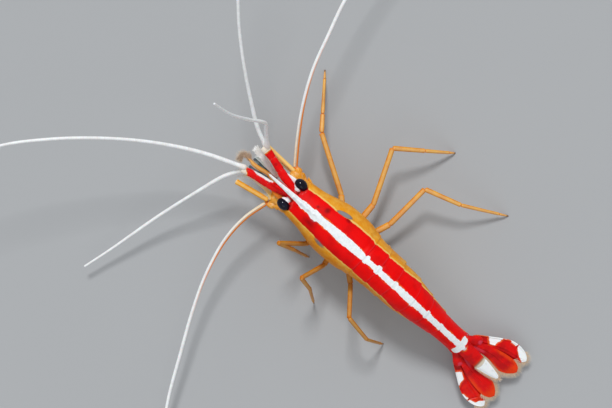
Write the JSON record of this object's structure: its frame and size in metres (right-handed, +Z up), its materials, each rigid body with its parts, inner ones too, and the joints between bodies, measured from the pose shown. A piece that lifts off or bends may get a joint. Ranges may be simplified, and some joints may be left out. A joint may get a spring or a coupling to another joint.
{
  "type": "cleaner shrimp model",
  "caption": "Life-size still model of a red and white striped cleaner shrimp standing on its walking legs, with long white feelers spread and its tail fan open.",
  "frame": {"origin": "centre of the bottom of the whole model's box, on the floor it stands on", "axes": "+Z up; the head points along -Y and the tail along +Y; +X is the animal's left side"},
  "size_m": [0.1158, 0.1052, 0.0361],
  "materials": {
    "carapace_shell": "glossy translucent shell: scarlet back with a white stripe, amber flanks",
    "head_shell": "glossy amber shell",
    "abdomen_shell": "glossy translucent shell: scarlet back with a white stripe, amber lower flanks",
    "tail_fan": "scarlet fin blades with white patches and a pale hair fringe",
    "eye": "dark glossy faceted cornea",
    "eyestalk": "pinkish white stalk",
    "peduncle": "scarlet segments with pale rings",
    "antenna_base": "amber segments",
    "antennal_scale": "clear blade with an orange outer rod",
    "antennule_feeler": "white, finely ringed",
    "antenna_feeler": "white, orange near the base, finely ringed",
    "mouthpart": "cream with fine hairs",
    "leg": "translucent amber",
    "swimmeret": "pale amber with a hair fringe"
  },
  "bodies": {
    "root": {"carapace": "carapace_shell", "rostrum": "carapace_shell", "head": "head_shell", "abdomen_1": "abdomen_shell", "abdomen_2": "abdomen_shell", "abdomen_3": "abdomen_shell", "abdomen_4": "abdomen_shell", "abdomen_5": "abdomen_shell", "abdomen_6": "abdomen_shell", "telson": "tail_fan", "uropod_endopod_L": "tail_fan", "uropod_exopod_L": "tail_fan", "uropod_endopod_R": "tail_fan", "uropod_exopod_R": "tail_fan", "eye_L": "eye", "eyestalk_L": "eyestalk", "antennule_peduncle_L": "peduncle", "antenna_peduncle_L": "antenna_base", "antennal_scale_L": "antennal_scale", "eye_R": "eye", "eyestalk_R": "eyestalk", "antennule_peduncle_R": "peduncle", "antenna_peduncle_R": "antenna_base", "antennal_scale_R": "antennal_scale", "antennule_upper_L_base": "antennule_feeler", "antennule_upper_L_tip": "antennule_feeler", "antennule_lower_L_base": "antennule_feeler", "antennule_lower_L_tip": "antennule_feeler", "antennule_upper_R_base": "antennule_feeler", "antennule_upper_R_tip": "antennule_feeler", "antennule_lower_R_base": "antennule_feeler", "antennule_lower_R_tip": "antennule_feeler", "antenna_L_base": "antenna_feeler", "antenna_L_tip": "antenna_feeler", "antenna_R_base": "antenna_feeler", "antenna_R_tip": "antenna_feeler", "maxilliped_L": "mouthpart", "leg_1_L": "leg", "leg_2_L": "leg", "leg_3_L": "leg", "leg_4_L": "leg", "leg_5_L": "leg", "swimmeret_1_L": "swimmeret", "swimmeret_2_L": "swimmeret", "swimmeret_3_L": "swimmeret", "swimmeret_4_L": "swimmeret", "swimmeret_5_L": "swimmeret", "maxilliped_R": "mouthpart", "leg_1_R": "leg", "leg_2_R": "leg", "leg_3_R": "leg", "leg_4_R": "leg", "leg_5_R": "leg", "swimmeret_1_R": "swimmeret", "swimmeret_2_R": "swimmeret", "swimmeret_3_R": "swimmeret", "swimmeret_4_R": "swimmeret", "swimmeret_5_R": "swimmeret"}
  },
  "joints": []
}
